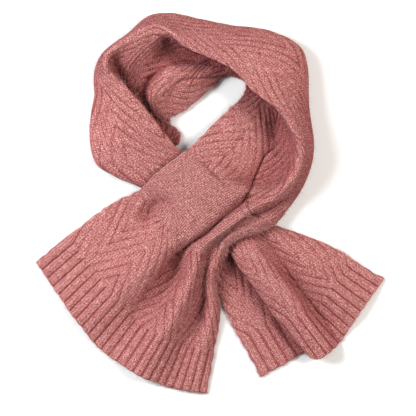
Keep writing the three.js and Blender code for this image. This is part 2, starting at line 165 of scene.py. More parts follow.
NECK_BACK = [
    dict(inner=(241, 98, 7), bank=(252, 109, 9.5), crown=(264, 117, 8), trough=(278, 125, 3),
         wall=(287, 121, 20), rim=(288, 123, 41), side=(298, 117, 33), roll=(308, 114, 14),
         outer=(306, 113, 2), cloth=dict(rim=130)),
    dict(inner=(246, 83, 2.5), bank=(252, 84, 5), crown=(259, 82, 8), trough=(267, 77, 6),
         wall=(271, 74, 22), rim=(254.5, 92, 44), side=(281, 69, 37), roll=(301, 52, 14),
         outer=(299, 52, 2), cloth=dict(rim=142)),
    dict(inner=(227, 76, 3), bank=(229, 70, 9), crown=(232, 63, 11), trough=(238, 54, 6),
         wall=(243, 50, 22), rim=(231.5, 69, 44), side=(251, 49, 37), roll=(270, 33, 14),
         outer=(269, 34, 2), cloth=dict(rim=146)),
    dict(inner=(208, 91, 3), bank=(207, 81, 9), crown=(206, 72, 13), trough=(210, 60, 3.5),
         wall=(218, 48, 22), rim=(210.5, 58, 42), side=(219, 41, 35), roll=(229, 27, 13),
         outer=(229, 28, 2), cloth=dict(rim=146)),
]

NECK_CORNER = [
    dict(inner=(188, 108, 3), bank=(188, 90, 11), crown=(187, 71, 17), trough=(187, 59, 3.5),
         wall=(191, 44, 21), rim=(188.5, 48, 38), side=(192, 35, 32), roll=(198, 21, 12),
         outer=(197, 22, 2), cloth=dict(rim=146)),
    dict(inner=(178, 114, 4), bank=(171, 96, 13), crown=(169, 73, 20), trough=(166, 57, 3),
         wall=(166, 42, 15), rim=(169, 33, 36.5), side=(170, 27, 29), roll=(171, 15, 12),
         outer=(171, 17, 2), cloth=dict(rim=150)),
    dict(inner=(170, 119, 6), bank=(162, 107, 12), crown=(154, 91, 20), trough=(148, 79, 2.8),
         wall=(146, 56, 19), rim=(157, 28.5, 34), side=(153, 23, 26), roll=(149, 18, 11),
         outer=(150, 19, 2), cloth=dict(rim=160)),
    dict(inner=(171, 125, 4), bank=(157, 115, 9), crown=(148, 102, 15), trough=(134, 83, 2.6),
         wall=(128, 59, 20), rim=(131.5, 38.5, 31), side=(129, 36, 22), roll=(127, 37, 10),
         outer=(129, 39, 2), cloth=dict(rim=172)),
    dict(inner=(181, 134, 2.5), bank=(160, 121, 4.5), crown=(145, 107, 10), trough=(124, 80, 2.6),
         wall=(112, 63, 13), rim=(107.5, 57, 29), side=(104, 56, 21), roll=(102, 58, 10),
         outer=(104, 60, 2), cloth=dict(rim=172)),
    dict(inner=(177, 145, 2.5), bank=(154, 128, 3), crown=(139, 111, 6), trough=(121, 87, 3.5),
         wall=(114, 76, 15), rim=(107.5, 70, 29.5), side=(99, 71, 21.5), roll=(96, 73, 10),
         outer=(98, 74, 2), cloth=dict(rim=172, side=206)),
]

# From here to the slot the sections start at the crown, where the cloth turns in on the table
NECK_LEFT = [
    dict(crown=(125, 107, 2.2), trough=(122, 98, 5), wall=(124, 89, 18), rim=(120.5, 83, 31),
         side=(107, 91, 27), roll=(96, 97, 11), outer=(97, 98, 2),
         cloth=dict(crown=110, rim=172, side=206)),
    dict(crown=(137, 127, 2.2), trough=(140, 119, 6), wall=(143, 113, 18), rim=(144.5, 110, 30),
         side=(119, 121, 28), roll=(92, 128, 12), outer=(92, 130, 2),
         cloth=dict(crown=110, rim=172, side=206)),
    dict(crown=(150, 148, 2.6), trough=(156, 141, 6), wall=(161, 136, 14), rim=(163.5, 134.5, 22),
         side=(133, 147, 23), roll=(99, 161, 11), outer=(97, 163, 2),
         cloth=dict(crown=110, rim=172, side=206)),
    dict(crown=(168, 169, 5.6), trough=(175, 162, 6.4), wall=(180, 157, 8.6), rim=(182, 155, 11.5),
         side=(165, 171, 14), roll=(149, 187, 9.5), outer=(146, 190, 6),
         cloth=dict(crown=110, rim=172, side=206)),
]

# The right tail, from its inner edge (right) to its outer edge (left). Its middle stands up as a
# pleat: from turn to floor the cloth goes back under the crown and returns along the table.
TAIL_COLUMNS = [
    "right", "shoulder", "valley", "crown", "rim", "turn", "under", "tuck", "floor", "lap", "left",
]

TAIL_RIGHT = [
    dict(right=(270, 224, 5.6), shoulder=(258, 226, 8.5), valley=(249, 229, 9.5),
         crown=(240, 234, 11), rim=(235, 238, 11), turn=(231, 242, 10.2), under=(228, 246, 9),
         tuck=(225, 250, 7.6), floor=(223, 254, 6.4), lap=(221, 258, 5.6), left=(220, 262, 5.6),
         cloth=dict(turn=110)),
    dict(right=(292, 231, 4), shoulder=(276, 238, 11), valley=(268, 245, 6.2), crown=(256, 252, 20.5),
         rim=(243, 256, 18.5), turn=(236, 260, 13), under=(240, 259, 8.6), tuck=(246, 256, 5.4),
         floor=(240, 260, 2.4), lap=(228, 271, 2.6), left=(216, 283, 2.2), cloth=dict(turn=118)),
    dict(right=(337, 249, 3), shoulder=(314, 266, 13), valley=(296, 284, 3), crown=(283, 286, 25.5),
         rim=(264, 287, 22), turn=(258, 291, 14), under=(263, 288, 9), tuck=(270, 283, 5.4),
         floor=(263, 287, 1.8), lap=(245, 299, 2.4), left=(228, 317, LYING), cloth=dict(turn=121)),
    dict(right=(353, 260, 2.5), shoulder=(332, 288, 11), valley=(315, 309, 2.4),
         crown=(302, 316, 22.5), rim=(287, 320, 19), turn=(282, 324, 13), under=(287, 320, 9),
         tuck=(294, 314, 5.3), floor=(287, 316, 1.8), lap=(263, 326, 2), left=(241, 341, LYING),
         cloth=dict(turn=122)),
]

HEM_RIGHT = [
    dict(right=(384, 279, LYING), shoulder=(360, 313, 6.5), valley=(340, 342, 2),
         crown=(326, 355, 16.5), rim=(316, 359, 15), turn=(308, 354, 11), under=(312, 349, 8.8),
         tuck=(318, 344, 5.2), floor=(311, 348, LYING), lap=(286, 363, 2),
         left=(261, 377, LYING), cloth=dict(turn=122)),
]

# Turn of the cloth under the slot: the cloth is rolled into a flattened bundle, a ring a row
GATHER = [
    dict(left=(147, 190.2), middle=(165, 173), right=(184, 156), bottom=3.6, top=15),
    dict(left=(170, 212), middle=(187, 195), right=(206, 177), bottom=3.5, top=21),
    dict(left=(193, 235), middle=(206, 216), right=(224, 205), bottom=3.5, top=14),
    dict(left=(214.5, 255.5), middle=(227.3, 234.4), right=(261.5, 218.5), bottom=3.9, top=10.5),
]
GATHER_SQUARENESS = 0.6
# How much of a full turn the wall goes round, how far its rings reach to their ends, how far it
# stops short of the first and last ring, its points round and along, and its share of the wall
GATHER_TURN = 0.96
GATHER_REACH = 0.97
GATHER_SHORT = 0.02
GATHER_POINTS = (121, 70)
GATHER_WALL = 0.95

SLOT_BACK = dict(near=((144, 192), (189, 154)), far=((219, 257), (267, 224)))

# Sharp creases on top of the sections: along each line the places are (across, down, depth),
# and width is how far from the line the crease is felt, in millimetres. A ridge has a depth below 0.
CREASES = [
    dict(name="slot edge", width=2.2, on=("neck_right", "slot_front", "tail_left"),
         line=((283, 131, 2), (272, 147, 3.5), (262, 161, 4), (254, 179, 4), (248, 194, 5),
               (240, 204, 4), (223, 217, 3.5), (205, 234, 4), (192, 242, 4), (183, 250, 4),
               (172, 257, 0))),
    dict(name="under the rim", width=1.8, on=("neck_right", "slot_front", "tail_left"),
         line=((299, 180, 1), (286, 197, 2.5), (266, 211, 3), (242, 220, 3), (231, 230, 3),
               (220, 242, 3), (217, 252, 2.5), (215, 262, 0))),
    dict(name="rim end", width=1.6, on=("slot_front",),
         line=((247, 203, 1), (250, 212, 2.2), (259, 217, 2), (266, 211, 1))),
    dict(name="beside the slot edge", width=5, on=("slot_front",),
         line=((240, 196, -1), (221, 210, -2.5), (203, 227, -2.5), (189, 238, -2), (179, 246, 0))),
    dict(name="dimple", width=7.5, on=("tail_left", "slot_front"),
         line=((172, 199, 1), (161, 202, 5), (151, 206, 8), (146, 214, 8), (143, 224, 2))),
    dict(name="bulge beside it", width=5.5, on=("tail_left",),
         line=((141, 201, -2), (135, 211, -4.5), (133, 222, -2))),
    dict(name="first tail valley", width=4.5, on=("tail_left", "slot_front"),
         line=((186, 247, 0), (179, 254, 3), (170, 264, 4), (159, 278, 3), (146, 296, 2),
               (132, 316, 1))),
    dict(name="second tail valley", width=4.5, on=("tail_left", "hem_left"),
         line=((207, 275, 0), (204, 292, 0.5), (199, 310, 2.5), (188, 332, 2), (177, 352, 1))),
    dict(name="beside the pleat", width=2.2, on=("tail_right", "hem_right"),
         line=((268, 243, 1), (281, 262, 2), (296, 284, 2.5), (315, 309, 2.5), (331, 331, 2.5),
               (340, 343, 1))),
    dict(name="slot end", width=3.2, on=("slot_front", "neck_right"),
         line=((194, 153, 0.5), (203, 163, 2.5), (222, 182, 2.8), (238, 197, 0.5))),
    dict(name="inside right", width=3.5, on=("neck_right",),
         line=((252, 120, 0.5), (243, 136, 1.6), (232, 152, 1.6), (222, 166, 0.5))),
    dict(name="outside the inner fold", width=3.0, on=("neck_back", "neck_corner"),
         line=((228, 69, 1), (208, 64, 3), (191, 62, 4), (170, 64, 4), (156, 72, 4), (145, 89, 4),
               (147, 106, 3), (160, 120, 0.5))),
    dict(name="inside the inner fold", width=2.5, on=("neck_back", "neck_corner"),
         line=((228, 76, 0.5), (214, 78, 2), (198, 79, 2.5), (184, 80, 2.5), (174, 88, 1.5),
               (168, 100, 0.5))),
]


def on_table(place):
    across, down, height = place
    return ((across - PLAN_CENTRE[0]) * PIXEL, (PLAN_CENTRE[1] - down) * PIXEL, height)


def through(points, places):
    """A smooth curve through points (n, ..., 3), at places from 0 to n - 1."""
    points = np.asarray(points, float)
    before, after = 2 * points[0] - points[1], 2 * points[-1] - points[-2]
    padded = np.concatenate([[before], points, [after]])
    i = np.clip(np.floor(places).astype(int), 0, len(points) - 2)
    w = np.asarray(places, float) - i
    p0, p1, p2, p3 = (padded[i + k] for k in range(4))

    def knot(a, b):
        return np.maximum(np.linalg.norm(b - a, axis=-1, keepdims=True), 1e-6) ** 0.5

    d0, d1, d2 = knot(p0, p1), knot(p1, p2), knot(p2, p3)
    t1 = ((p1 - p0) / d0 - (p2 - p0) / (d0 + d1) + (p2 - p1) / d1) * d1
    t2 = ((p2 - p1) / d1 - (p3 - p1) / (d1 + d2) + (p3 - p2) / d2) * d1
    w = w.reshape(w.shape + (1,) * (p1.ndim - w.ndim))
    return (p1 + t1 * w + (-3 * p1 + 3 * p2 - 2 * t1 - t2) * w ** 2
            + (2 * p1 - 2 * p2 + t1 + t2) * w ** 3)


def section_at(row, all_columns, width, xs):
    """Points of one section at places xs across the flat cloth."""
    columns = [name for name in all_columns if name in row]
    controls = [on_table(row[name]) for name in columns]
    curve = through(controls, np.linspace(0, len(columns) - 1,
                                          SECTION_SAMPLES * (len(columns) - 1) + 1))
    steps = np.linalg.norm(np.diff(curve, axis=0), axis=1)
    arcs = np.concatenate([[0], np.cumsum(steps)])
    knot_x = list(row["cloth"].values())
    knot_arc = [arcs[columns.index(name) * SECTION_SAMPLES] for name in row["cloth"]]
    if knot_arc[0] > 0:
        knot_x, knot_arc = [0] + knot_x, [0] + knot_arc
    arc = np.interp(xs, knot_x + [width], knot_arc + [arcs[-1]])
    return np.stack([np.interp(arc, arcs, curve[:, k]) for k in range(3)], axis=-1)


class Strip:
    """A strip of cloth through its sections. at(xs, ys) takes places on the flat cloth."""

    def __init__(self, rows, columns, width):
        self.rows, self.columns, self.width = rows, columns, width
        even = np.linspace(0, width, SECTION_SAMPLES + 1)
        sections = np.stack([section_at(row, columns, width, even) for row in rows])
        steps = np.linalg.norm(np.diff(sections, axis=0), axis=2).mean(axis=1)
        self.stations = np.concatenate([[0], np.cumsum(steps)])

    def at(self, xs, ys):
        """Points (len(ys), len(xs), 3)."""
        xs = np.clip(xs, 0, self.width)
        sections = np.stack([section_at(r, self.columns, self.width, xs) for r in self.rows])
        places = np.interp(ys, self.stations, np.arange(len(self.rows)))
        return through(sections, places)


collar_rows = HEM_LEFT + TAIL_LEFT + SLOT_FRONT + NECK_RIGHT + NECK_BACK + NECK_CORNER + NECK_LEFT
strip = Strip(collar_rows, STRIP_COLUMNS, CLOTH_WIDTH)
tail = Strip(TAIL_RIGHT + HEM_RIGHT, TAIL_COLUMNS, TAIL_CLOTH_WIDTH)
rows_to = np.cumsum([len(HEM_LEFT), len(TAIL_LEFT) + 1, len(SLOT_FRONT) - 1, len(NECK_RIGHT),
                     len(NECK_BACK), len(NECK_CORNER), len(NECK_LEFT)])
(hem_end, slot_start, slot_end, right_end, back_end, corner_end, left_end) = (
    strip.stations[rows_to - 1])
tail_hem = tail.stations[len(TAIL_RIGHT) - 1]
tail_end = tail.stations[-1]


def from_spine(x):
    """Distance across the cloth from the nearest spine, from which the slanting ribs fan out."""
    turned = np.mod(x - FIRST_SPINE, 2 * PANEL_WIDTH)
    return np.minimum(turned, 2 * PANEL_WIDTH - turned)


def wander(x, y, size):
    """A slow irregular wave between about -1 and 1, the same on every run."""
    a = np.sin(x / size * 1.7 + 1.3 * np.sin(y / size * 0.9 + 0.4))
    b = np.sin(y / size * 1.3 + 1.1 * np.sin(x / size * 1.2 + 2.1) + 0.7)
    c = np.sin((x + y) / size * 0.8 + 2.9)
    return (a + b + c) / 3


def rib(phase):
    """A broad rib, 0 to 1, with a narrow groove between it and the next one."""
    return np.abs(np.cos(np.pi * phase)) ** 0.75


# The three ways to knit give the phase of the ribs, how high they are, and how strongly their
# grooves show, as bump and as painted shade, from 0 to 1
def border(x, y, start, end, way):
    return from_spine(x) / RIB_PITCH, BORDER_RIB, np.full(x.shape, 0.9)


def slanting(x, y, start, end, way):
    whole = max(1, round((end - start) * math.tan(RIB_LEAN) / RIB_PITCH))
    phase = (y - start) * whole / (end - start) - way * from_spine(x) / RIB_PITCH
    # How far the ribs stand out, and how much bump and painted shade their grooves get, wanders
    # slowly across the cloth
    rib_prominence = np.clip(0.5 + 0.7 * wander(x + 13, y + 5, 11), 0, 1)
    return phase + 0.05 * wander(x, y, 16), SLANTING_RIB * (0.4 + 0.6 * rib_prominence), 0.15 + 0.6 * rib_prominence


def plain(x, y, start, end, way):
    return np.zeros(x.shape), 0.0, np.zeros(x.shape)


def normals(points):
    """Unit normals of a grid of points, which needs one more row and column on each side."""
    across = points[1:-1, 2:] - points[1:-1, :-2]
    along = points[2:, 1:-1] - points[:-2, 1:-1]
    normal = np.cross(across, along)
    return normal / np.maximum(np.linalg.norm(normal, axis=2, keepdims=True), 1e-9)


def crease_depth(node, points):
    """How deep the creases named for this node lie at each point."""
    depth = np.zeros(points.shape[:2])
    for crease in CREASES:
        if node not in crease["on"]:
            continue
        line = np.array([[*on_table((a, d, 0))[:2], deep] for a, d, deep in crease["line"]])
        line = through(line, np.linspace(0, len(line) - 1, 6 * len(line)))
        nearest = np.full(points.shape[:2], np.inf)
        felt = np.zeros(points.shape[:2])
        for start, end in zip(line[:-1], line[1:]):
            step = end[:2] - start[:2]
            share = np.clip(((points[..., :2] - start[:2]) @ step) / (step @ step), 0, 1)
            away = np.linalg.norm(points[..., :2] - start[:2] - share[..., None] * step, axis=2)
            closer = away < nearest
            nearest = np.where(closer, away, nearest)
            felt = np.where(closer, start[2] + share * (end[2] - start[2]), felt)
        depth += felt * np.exp(-(nearest / crease["width"]) ** 2)
    return depth


def spaced(start, end, free_start, free_end):
    """Places from start to end about GRID apart, closer together beside a free edge."""
    places = list(np.linspace(start, end, max(3, round((end - start) / GRID)) + 1))
    if free_start:
        places[1:1] = [start + d for d in EDGE_POINTS]
    if free_end:
        places[-1:-1] = [end - d for d in reversed(EDGE_POINTS)]
    return np.array(places)


def rounding(places, start, end, free_start, free_end):
    """Share of the wall's thickness left at each place, which rounds off a free edge."""
    share = np.ones(len(places))
    for free, distance in ((free_start, places - start), (free_end, end - places)):
        if free:
            inside = np.clip(distance / (WALL / 2), 0, 1)
            round_off = np.sqrt(np.maximum(1 - (1 - inside) ** 2, THINNEST ** 2))
            share = np.minimum(share, round_off)
    return share


def store(mesh, name, values):
    attribute = mesh.attributes.new(name, "FLOAT", "POINT")
    attribute.data.foreach_set("value", values.astype(np.float32))


def cloth_wall(name, outer, inner, flat_x, flat_y, sharp_start=False, sharp_end=False, ribs=None):
    """A closed wall of cloth between two grids of points (rows, columns, 3), in millimetres."""
    rows, columns = outer.shape[:2]
    count = rows * columns
    bm = bmesh.new()
    bm.loops.layers.uv.new("UVMap")
    for _ in range(2):
        bmesh.ops.create_grid(bm, x_segments=columns - 1, y_segments=rows - 1, size=1,
                              calc_uvs=True)
    bm.verts.ensure_lookup_table()
    bm.faces.ensure_lookup_table()
    bmesh.ops.reverse_faces(bm, faces=bm.faces[len(bm.faces) // 2:])
    border = [(0, j) for j in range(columns - 1)] + [(i, columns - 1) for i in range(rows - 1)]
    border += [(rows - 1, j) for j in range(columns - 1, 0, -1)]
    border += [(i, 0) for i in range(rows - 1, 0, -1)]
    for (i, j), (k, m) in zip(border, border[1:] + border[:1]):
        a, b = i * columns + j, k * columns + m
        face = bm.faces.new([bm.verts[n] for n in (count + a, count + b, b, a)])
        sharp = (sharp_start and i == k == 0) or (sharp_end and i == k == rows - 1)
        for edge in face.edges:
            edge.smooth = edge.smooth and not sharp
    for face in bm.faces:
        face.smooth = True
    mesh = bpy.data.meshes.new(name)
    bm.to_mesh(mesh)
    bm.free()
    points = np.concatenate([outer.reshape(-1, 3), inner.reshape(-1, 3)]) * MM
    mesh.vertices.foreach_set("co", points.ravel())
    corners = np.empty(len(mesh.loops), np.int32)
    mesh.loops.foreach_get("vertex_index", corners)
    flat = np.stack(np.meshgrid(flat_x, flat_y), axis=-1).reshape(-1, 2) * 0.01
    mesh.uv_layers["UVMap"].data.foreach_set("uv", flat[corners % count].ravel())
    for key, values in zip(("rib_phase", "rib_strength"), ribs or (np.zeros(count),) * 2):
        store(mesh, key, np.tile(values.ravel(), 2))
    mesh.update()
    piece = bpy.data.objects.new(name, mesh)
    bpy.context.collection.objects.link(piece)
    return piece


def mohair(node, roots, ways, number):
    """Thin bent ribbons that stand off the cloth at chosen roots, as loose fibres."""
    chance = np.random.default_rng(sum(node.encode()))
    picked = chance.integers(0, len(roots), number)
    roots, ways = roots[picked], ways[picked]
    lean = chance.normal(size=(number, 3))
    ways = ways + FUZZ_LEAN * lean
    ways /= np.linalg.norm(ways, axis=1, keepdims=True)
    length = FUZZ_LENGTH * chance.uniform(FUZZ_SHORTEST, 1, (number, 1))
    bend = chance.normal(size=(number, 3)) * FUZZ_BEND
    side = np.cross(ways, chance.normal(size=(number, 3)))
    side *= FUZZ_WIDTH / 2 / np.maximum(np.linalg.norm(side, axis=1, keepdims=True), 1e-6)
    rows = []
    for share, width in FUZZ_RIBBON:
        spot = roots + length * (ways * share + bend * share ** 2)
        spot[:, 2] = np.maximum(spot[:, 2], FUZZ_LOWEST)
        rows.append(np.stack([spot - side * width, spot + side * width], axis=1).reshape(-1, 3))
    bm = bmesh.new()
    columns = 2 * number
    bmesh.ops.create_grid(bm, x_segments=columns - 1, y_segments=2, size=1)
    between = [f for f in bm.faces if min(v.index for v in f.verts) % columns % 2]
    bmesh.ops.delete(bm, geom=between, context="FACES_ONLY")
    across = [e for e in bm.edges if not e.link_faces]
    bmesh.ops.delete(bm, geom=across, context="EDGES")
    mesh = bpy.data.meshes.new(node + "_fuzz")
    bm.to_mesh(mesh)
    bm.free()
    mesh.vertices.foreach_set("co", (np.concatenate(rows) * MM).ravel())
    mesh.update()
    piece = bpy.data.objects.new(node + "_fuzz", mesh)
    bpy.context.collection.objects.link(piece)
    piece.data.materials.append(fibre)
    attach(piece, "root")
    return piece


def declare(piece, node, material, width, length, held, rests_on, with_pieces=()):
    piece.data.materials.append(material)
    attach(piece, "root")
    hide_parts(node)


def flat_size(middle):
    """Width and length of a grid of points, measured along it and averaged."""
    across = np.linalg.norm(np.diff(middle, axis=1), axis=2).sum(axis=1).mean()
    along = np.linalg.norm(np.diff(middle, axis=0), axis=2).sum(axis=0).mean()
    return across, along


def loose_edges(middle, x, y, phase, across, along, ends_free):
    """Small moves within the cloth that make its free edges uneven, and scalloped at a border."""
    over = np.gradient(middle, axis=1)
    over /= np.maximum(np.linalg.norm(over, axis=2, keepdims=True), 1e-9)
    onward = np.gradient(middle, axis=0)
    onward /= np.maximum(np.linalg.norm(onward, axis=2, keepdims=True), 1e-9)
    uneven = EDGE_WANDER * wander(y * 3 + x, y, EDGE_WAVE)
    sides = np.exp(-(x - across[0]) / EDGE_REACH) - np.exp(-(across[1] - x) / EDGE_REACH)
    scallop = SCALLOP * (rib(phase) - 0.8) + 0.5 * EDGE_WANDER * wander(x, x * 2 + y, EDGE_WAVE)
    ends = np.zeros(x.shape)
    if ends_free[0]:
        ends -= np.exp(-(y - along[0]) / EDGE_REACH)
    if ends_free[1]:
        ends += np.exp(-(along[1] - y) / EDGE_REACH)
    return over * (uneven * sides)[..., None] + onward * (scallop * ends)[..., None]


def stretch(node, cloth, across, along, pattern, way, material, free="sides"):
    """One stretch of the strip, with its ribs on the outer side."""
    ends_free = ("start" in free, "end" in free)
    start, end = along[0] + SEAM / 2, along[1] - SEAM / 2
    xs = spaced(*across, True, True)
    ys = spaced(start, end, *ends_free)
    wide_x = np.concatenate([[xs[0] - GRID], xs, [xs[-1] + GRID]])
    wide_y = np.clip(np.concatenate([[start - GRID], ys, [end + GRID]]), 0, cloth.stations[-1])
    middle = cloth.at(np.clip(wide_x, across[0], across[1]), wide_y)
    flat = np.pad(normals(middle), ((1, 1), (1, 1), (0, 0)), "edge")
    faces_up = np.clip(flat[..., 2:] * 2, 0, 1)
    middle = middle - flat * faces_up * crease_depth(node, middle)[..., None]
    normal = normals(middle)
    middle = middle[1:-1, 1:-1]
    x, y = np.meshgrid(xs, ys)
    phase, rib_height, strength = pattern(x, y, *along, way)
    middle = middle + loose_edges(middle, x, y, phase, across, along, ends_free)
    soft = SWELL * wander(x + 40, y, SWELL_WAVE)
    share = np.minimum(rounding(xs, *across, True, True)[None, :],
                       rounding(ys, start, end, *ends_free)[:, None])
    height = (WALL / 2 + rib_height * (rib(phase) - 0.5) + soft) * share
    outer = middle + normal * height[..., None]
    inner = middle - normal * (WALL / 2 * share)[..., None]
    for points in (outer, inner):
        points[..., 2] = np.maximum(points[..., 2], 0)
    piece = cloth_wall(node + "_cloth", outer, inner, xs, ys, not ends_free[0], not ends_free[1],
                       (phase, strength))
    declare(piece, node, material, *flat_size(middle), "folded", ["table"],
            fuzz(node, middle, outer, normal, ends_free))


def fuzz(node, middle, outer, normal, ends_free):
    """Fibres over the outer side, and longer rows of them along the free edges."""
    width, length = flat_size(middle)
    back = FUZZ_EDGE_WAY
    edges = [(middle[:, 0], middle[:, 0] - middle[:, back], length),
             (middle[:, -1], middle[:, -1] - middle[:, -1 - back], length)]
    if ends_free[0]:
        edges.append((middle[0], middle[0] - middle[back], width))
    if ends_free[1]:
        edges.append((middle[-1], middle[-1] - middle[-1 - back], width))
    made = [mohair(node, outer.reshape(-1, 3), normal.reshape(-1, 3),
                   round(FUZZ_DENSITY * width * length / 100))]
    for number, (roots, out, reach) in enumerate(edges):
        out = out / np.linalg.norm(out, axis=1, keepdims=True)
        made.append(mohair(f"{node}_edge_{number}", roots, out, round(FUZZ_EDGE * reach / 10)))
    return made


def slot_back(material):
    """The back layer of the slot, flat on the table."""
    (a, b), (c, d) = SLOT_BACK["near"], SLOT_BACK["far"]
    corners = [np.array(on_table((*place, 0))) for place in (a, b, c, d)]
    length = np.linalg.norm(corners[2] - corners[0])
    width = np.linalg.norm(corners[1] - corners[0])
    xs, ys = spaced(0, length, True, True), spaced(0, width, True, True)
    u, v = np.meshgrid(xs / length, ys / width)
    near = corners[0] + (corners[1] - corners[0]) * v[..., None]
    far = corners[2] + (corners[3] - corners[2]) * v[..., None]
    flat = near + (far - near) * u[..., None]
    share = np.minimum(rounding(xs, 0, length, True, True)[None, :],
                       rounding(ys, 0, width, True, True)[:, None])
    top, under = flat.copy(), flat.copy()
    top[..., 2] = WALL / 2 * (1 + share)
    under[..., 2] = WALL / 2 * (1 - share)
    piece = cloth_wall("slot_back_cloth", top, under, xs, ys)
    declare(piece, "slot_back", material, length, width, "laid", ["table"])


def gathered(material):
    """The cloth rolled up inside the slot: a wall that goes nearly all the way round each ring."""
    turns = np.linspace(-GATHER_TURN * math.pi, GATHER_TURN * math.pi, GATHER_POINTS[0])

    def squared(value):
        return np.sign(value) * np.abs(value) ** GATHER_SQUARENESS

    rings = []
    for row in GATHER:
        bend = [on_table((*row[key], 0)) for key in ("left", "middle", "right")]
        ring = through(bend, 1 + squared(np.cos(turns)) * GATHER_REACH)
        ring[:, 2] = (row["top"] + row["bottom"]) / 2
        ring[:, 2] += squared(np.sin(turns)) * ((row["top"] - row["bottom"]) / 2 - WALL / 2)
        rings.append(ring)
    places = np.linspace(GATHER_SHORT, len(GATHER) - 1 - GATHER_SHORT, GATHER_POINTS[1])
    middle = through(np.stack(rings), places)
    normal = np.cross(np.gradient(middle, axis=1), np.gradient(middle, axis=0))
    normal /= np.maximum(np.linalg.norm(normal, axis=2, keepdims=True), 1e-9)
    width, length = flat_size(middle)
    xs, ys = np.linspace(0, width, len(turns)), np.linspace(0, length, len(places))
    half = WALL / 2 * GATHER_WALL
    piece = cloth_wall("tail_gather_cloth", middle + normal * half, middle - normal * half, xs, ys)
    declare(piece, "tail_gather", material, width, length, "gathered", ["slot_back_cloth"])


def shade_by_sky(pieces):
    """Store on each piece how open its points are to the sky above the table, from 0 to 1, for the
    painted shade that darkens the hollows.
    """
    clouds = []
    for piece in pieces:
        points = np.empty(len(piece.data.vertices) * 3)
        piece.data.vertices.foreach_get("co", points)
        clouds.append(points.reshape(-1, 3) / MM)
    every = np.concatenate(clouds)
    low = every[:, :2].min(axis=0) - 60
    size = np.ceil((every[:, :2].max(axis=0) + 60 - low) / SKY_CELL).astype(int)
    tops = np.zeros(size)
    cells = ((every[:, :2] - low) / SKY_CELL).astype(int)
    np.maximum.at(tops, (cells[:, 0], cells[:, 1]), every[:, 2])
    for piece, points in zip(pieces, clouds):
        seen = np.zeros(len(points))
        for turn in np.arange(SKY_TURNS) * 2 * math.pi / SKY_TURNS:
            way = np.array([math.cos(turn), math.sin(turn)])
            slope = np.zeros(len(points))
            for reach in SKY_REACHES:
                spot = ((points[:, :2] + way * reach - low) / SKY_CELL).astype(int)
                rise = tops[spot[:, 0], spot[:, 1]] - points[:, 2]
                slope = np.maximum(slope, rise / reach)
            seen += 1 / (1 + slope ** 2)
        store(piece.data, "openness_for_painted_shade", seen / SKY_TURNS)


# Colours of the yarn from its dark flecks to its light ones, as (place on the ramp, colour)
YARN_DARK = (0.34, (0.22, 0.058, 0.056, 1))
YARN_MIDDLE = (0.5, (0.43, 0.158, 0.149, 1))
YARN_LIGHT = (0.68, (0.74, 0.43, 0.405, 1))
FIBRE_COLOUR = (0.62, 0.33, 0.31)
TABLE_COLOUR = (0.86, 0.86, 0.86)

# Flecks and clouds to a metre, and how much painted shade darkens the grooves between ribs
FLECKS = 720.0
CLOUDS = 90.0
GROOVE_SHADE = 0.72

# Shade is raised to these powers in red, green and blue, so that deep folds turn redder
SHADE_POWERS = (0.7, 1.38, 1.33)

# Height of the bump, in metres
BUMP = 0.0008


def node_maker(material):
    tree = material.node_tree

    def make(kind, inputs=(), **settings):
        node = tree.nodes.new(kind)
        for key, value in settings.items():
            setattr(node, key, value)
        for key, value in dict(inputs).items():
            if isinstance(value, bpy.types.NodeSocket):
                tree.links.new(value, node.inputs[key])
            else:
                node.inputs[key].default_value = value
        return node

    def maths(operation, a, b=0.0, c=0.0):
        return make("ShaderNodeMath", {0: a, 1: b, 2: c}, operation=operation).outputs[0]

    return make, maths


